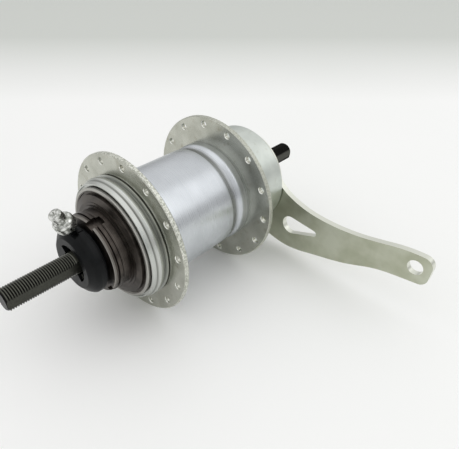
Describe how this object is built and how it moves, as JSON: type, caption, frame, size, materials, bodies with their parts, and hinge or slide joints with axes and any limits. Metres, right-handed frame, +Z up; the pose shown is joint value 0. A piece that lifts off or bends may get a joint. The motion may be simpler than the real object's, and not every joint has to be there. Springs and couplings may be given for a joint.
{
  "type": "internal gear hub",
  "caption": "Bicycle internal gear hub with back-pedal brake arm, spoke flanges, threaded axle and cable-pulled shift pulley, with its planet gears, pawls, clutch and brake inside",
  "frame": {"origin": "on the axle's axis, midway between the two spoke flanges", "axes": "+Y along the axle towards the brake arm, +Z up, +X forward, the way the brake arm points"},
  "size_m": [0.1419, 0.1682, 0.0742],
  "materials": {
    "black_oxide_steel": "black oxide, satin, oiled",
    "hardened_steel": "ground and greased",
    "zinc_plated_arm": "satin zinc plate with faint stains",
    "zinc_plated_nut": "satin zinc plate",
    "zinc_plated_flange": "satin zinc plate, rough stamped rim",
    "zinc_plated_drum": "satin zinc plate, turned",
    "silver_shell": "bright turned silver",
    "dark_burnished_steel": "dark, turned and burnished",
    "spring_wire": "drawn wire",
    "bearing_steel": "polished",
    "pressed_cage": "pressed sheet",
    "black_plastic": "satin moulded",
    "nickel_plated": "nickel plate, lightly worn",
    "brake_shoe_steel": "sintered, greased"
  },
  "bodies": {
    "axle": {"axle": "black_oxide_steel", "sun_gear": "hardened_steel", "drive_cone": "hardened_steel", "stop_nut": "black_oxide_steel", "lever_cone": "hardened_steel", "brake_arm": "zinc_plated_arm", "brake_side_spacer": "zinc_plated_nut", "brake_side_locknut": "zinc_plated_nut", "shoe_spring": "spring_wire"},
    "shell": {"hub_shell": "silver_shell", "right_flange": "zinc_plated_flange", "left_flange": "zinc_plated_flange", "drive_ball_cup": "hardened_steel", "brake_drum": "zinc_plated_drum"},
    "driver": {"driver": "dark_burnished_steel", "sprocket_clip": "dark_burnished_steel", "dust_cap": "dark_burnished_steel", "clutch_spring": "spring_wire", "clutch_spring_seat": "hardened_steel"},
    "carrier": {"planet_carrier": "hardened_steel", "planet_pins": "bearing_steel", "low_gear_rollers": "bearing_steel", "low_gear_cage": "pressed_cage", "brake_rollers": "bearing_steel", "brake_roller_cage": "pressed_cage"},
    "ring": {"ring_gear": "hardened_steel", "pawl_spring": "spring_wire"},
    "planet_1": {"planet_gear_1": "hardened_steel"},
    "planet_2": {"planet_gear_2": "hardened_steel"},
    "planet_3": {"planet_gear_3": "hardened_steel"},
    "planet_4": {"planet_gear_4": "hardened_steel"},
    "first_pawl": {"pawl_1": "hardened_steel"},
    "second_pawl": {"pawl_2": "hardened_steel"},
    "clutch_ring": {"clutch": "hardened_steel"},
    "sleeve": {"shift_sleeve": "hardened_steel"},
    "pulley": {"shift_pulley": "black_plastic", "pulley_cover": "black_plastic", "cable_anchor": "nickel_plated", "anchor_screw": "nickel_plated"},
    "shoe_1": {"brake_shoe_1": "brake_shoe_steel"},
    "shoe_2": {"brake_shoe_2": "brake_shoe_steel"},
    "shoe_3": {"brake_shoe_3": "brake_shoe_steel"},
    "drive_bearing": {"drive_balls": "bearing_steel", "drive_ball_cage": "pressed_cage"},
    "cone_bearing": {"cone_balls": "bearing_steel", "cone_ball_cage": "pressed_cage"},
    "brake_bearing": {"brake_balls": "bearing_steel", "brake_ball_cage": "pressed_cage"}
  },
  "joints": [
    {"name": "shell_spin", "type": "hinge", "parent": "axle", "child": "shell", "pos_m": [0, 0, 0], "axis": [0, 1, 0], "continuous": true},
    {"name": "ring_spin", "type": "hinge", "parent": "axle", "child": "ring", "pos_m": [0, -0.012, 0], "axis": [0, 1, 0], "continuous": true},
    {"name": "carrier_spin", "type": "hinge", "parent": "axle", "child": "carrier", "pos_m": [0, 0.01, 0], "axis": [0, 1, 0], "continuous": true},
    {"name": "driver_spin", "type": "hinge", "parent": "axle", "child": "driver", "pos_m": [0, -0.035, 0], "axis": [0, 1, 0], "continuous": true},
    {"name": "planet_1_spin", "type": "hinge", "parent": "carrier", "child": "planet_1", "pos_m": [0, -0.0085, 0.0136], "axis": [0, 1, 0], "continuous": true},
    {"name": "planet_2_spin", "type": "hinge", "parent": "carrier", "child": "planet_2", "pos_m": [0.0136, -0.0085, 0], "axis": [0, 1, 0], "continuous": true},
    {"name": "planet_3_spin", "type": "hinge", "parent": "carrier", "child": "planet_3", "pos_m": [0, -0.0085, -0.0136], "axis": [0, 1, 0], "continuous": true},
    {"name": "planet_4_spin", "type": "hinge", "parent": "carrier", "child": "planet_4", "pos_m": [-0.0136, -0.0085, 0], "axis": [0, 1, 0], "continuous": true},
    {"name": "drive_bearing_spin", "type": "hinge", "parent": "axle", "child": "drive_bearing", "pos_m": [0, -0.0334, 0], "axis": [0, 1, 0], "continuous": true},
    {"name": "cone_bearing_spin", "type": "hinge", "parent": "axle", "child": "cone_bearing", "pos_m": [0, -0.0424, 0], "axis": [0, 1, 0], "continuous": true},
    {"name": "brake_bearing_spin", "type": "hinge", "parent": "axle", "child": "brake_bearing", "pos_m": [0, 0.0462, 0], "axis": [0, 1, 0], "continuous": true},
    {"name": "pulley_turn", "type": "hinge", "parent": "axle", "child": "pulley", "pos_m": [0, -0.05, 0], "axis": [0, 1, 0], "range_deg": [0, 55], "stiffness_Nm_per_rad": 0.25, "springref_deg": -20.05},
    {"name": "sleeve_slide", "type": "slide", "parent": "axle", "child": "sleeve", "axis": [0, -1, 0], "range_m": [0, 0.0024]},
    {"name": "clutch_slide", "type": "slide", "parent": "driver", "child": "clutch_ring", "axis": [0, -1, 0], "range_m": [0, 0.0024], "deforming": ["clutch_spring"]},
    {"name": "first_pawl_swing", "type": "hinge", "parent": "ring", "child": "first_pawl", "pos_m": [-0.00662, -0.02335, 0.01818], "axis": [0, 1, 0], "range_deg": [0, 8], "stiffness_Nm_per_rad": 0.01, "springref_deg": -11.46},
    {"name": "second_pawl_swing", "type": "hinge", "parent": "ring", "child": "second_pawl", "pos_m": [0.00269, -0.02335, -0.01916], "axis": [0, 1, 0], "range_deg": [0, 8]},
    {"name": "shoe_1_slide", "type": "slide", "parent": "axle", "child": "shoe_1", "axis": [0, 0, 1], "range_m": [0, 0.00035], "stiffness_N_per_m": 2000, "springref_m": -0.002},
    {"name": "shoe_2_slide", "type": "slide", "parent": "axle", "child": "shoe_2", "axis": [0.866, 0, -0.5], "range_m": [0, 0.00035]},
    {"name": "shoe_3_slide", "type": "slide", "parent": "axle", "child": "shoe_3", "axis": [-0.866, 0, -0.5], "range_m": [0, 0.00035]}
  ],
  "couplings": [
    {"joint": "ring_spin", "follows": "shell_spin", "ratio": 1},
    {"joint": "carrier_spin", "follows": "shell_spin", "ratio": 0.73529},
    {"joint": "driver_spin", "follows": "shell_spin", "ratio": 0.73529},
    {"joint": "planet_1_spin", "follows": "shell_spin", "ratio": 0.82721},
    {"joint": "planet_2_spin", "follows": "shell_spin", "ratio": 0.82721},
    {"joint": "planet_3_spin", "follows": "shell_spin", "ratio": 0.82721},
    {"joint": "planet_4_spin", "follows": "shell_spin", "ratio": 0.82721},
    {"joint": "drive_bearing_spin", "follows": "shell_spin", "ratio": 0.88075},
    {"joint": "cone_bearing_spin", "follows": "shell_spin", "ratio": 0.43568},
    {"joint": "brake_bearing_spin", "follows": "shell_spin", "ratio": 0.55777},
    {"joint": "sleeve_slide", "follows": "pulley_turn", "m_per_rad": 0.0025002},
    {"joint": "clutch_slide", "follows": "pulley_turn", "m_per_rad": 0.0025002},
    {"joint": "second_pawl_swing", "follows": "first_pawl_swing", "ratio": 1},
    {"joint": "shoe_2_slide", "follows": "shoe_1_slide", "ratio": 1},
    {"joint": "shoe_3_slide", "follows": "shoe_1_slide", "ratio": 1}
  ]
}
